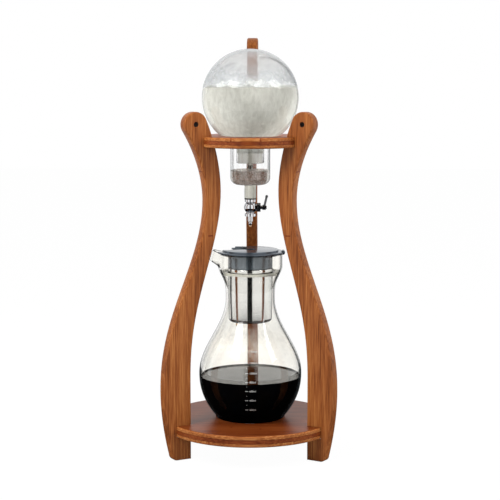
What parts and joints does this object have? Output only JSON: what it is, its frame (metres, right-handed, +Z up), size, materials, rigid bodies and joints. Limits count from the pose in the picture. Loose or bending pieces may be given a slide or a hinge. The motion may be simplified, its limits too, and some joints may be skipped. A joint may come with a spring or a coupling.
{
  "type": "cold drip coffee tower",
  "caption": "Three-legged wooden stand that holds an inverted glass flask over a valved feed cup, which drips water through a steel basket into a lidded glass carafe.",
  "frame": {"origin": "under the middle of the tower at floor level; the axis of ring, disc and carafe stands 9 mm in front of it", "axes": "+Z up; -Y is the front, between the two short legs; the tall leg stands at +Y, the lever is at +X and the carafe's spout at -X"},
  "size_m": [0.2488, 0.26, 0.5905],
  "materials": {
    "leg_wood": "caramel bamboo, satin lacquer",
    "laminate": "laminated caramel bamboo, satin lacquer",
    "dowel_wood": "raw hardwood",
    "clear_glass": "clear borosilicate",
    "water": "cloudy iced water",
    "ice": "ice",
    "silicone": "translucent silicone",
    "black_rubber": "black silicone",
    "chrome": "polished chrome",
    "dark_chrome": "black chrome",
    "steel": "polished stainless steel",
    "coffee": "black coffee",
    "ground_coffee": "ground coffee",
    "black_plastic": "glossy black moulded plastic"
  },
  "bodies": {
    "frame": {"leg_left": "leg_wood", "leg_right": "leg_wood", "leg_back": "leg_wood", "top_ring": "laminate", "base_disc": "laminate", "ring_dowels": "dowel_wood", "base_dowels": "dowel_wood"},
    "feed": {"feed_cup": "clear_glass", "cup_water": "water", "valve_sleeve": "silicone", "tube_washer": "black_rubber", "valve_body": "chrome", "stem_packing": "black_rubber", "gland_washer": "black_rubber", "gland_nut": "dark_chrome", "low_collar": "chrome", "nozzle": "chrome", "drip_tip": "chrome"},
    "lever": {"valve_plug": "chrome", "valve_lever": "dark_chrome", "lever_screw": "chrome"},
    "globe_body": {"globe": "clear_glass", "globe_water": "water", "globe_ice": "ice", "globe_stopper": "silicone", "feed_tube": "steel"},
    "carafe_body": {"carafe": "clear_glass", "coffee": "coffee"},
    "basket": {"grounds_basket": "steel", "basket_mesh": "steel", "basket_seal": "silicone", "coffee_bed": "ground_coffee"},
    "lid": {"carafe_lid": "black_plastic"}
  },
  "joints": [
    {"name": "cup_lift", "type": "slide", "parent": "frame", "child": "feed", "axis": [0, 0, 1], "range_m": [0, 0.14]},
    {"name": "globe_lift", "type": "slide", "parent": "feed", "child": "globe_body", "axis": [0, 0, 1], "range_m": [0, 0.08]},
    {"name": "valve_turn", "type": "hinge", "parent": "feed", "child": "lever", "pos_m": [0.02, -0.009, 0.3511], "axis": [1, 0, 0], "range_deg": [0, 90]},
    {"name": "carafe_slide", "type": "slide", "parent": "frame", "child": "carafe_body", "axis": [0.866, 0.5, 0], "range_m": [0, 0.21]},
    {"name": "basket_lift", "type": "slide", "parent": "carafe_body", "child": "basket", "axis": [0, 0, 1], "range_m": [0, 0.033]},
    {"name": "lid_lift", "type": "slide", "parent": "basket", "child": "lid", "axis": [0, 0, 1], "range_m": [0, 0.033]}
  ]
}
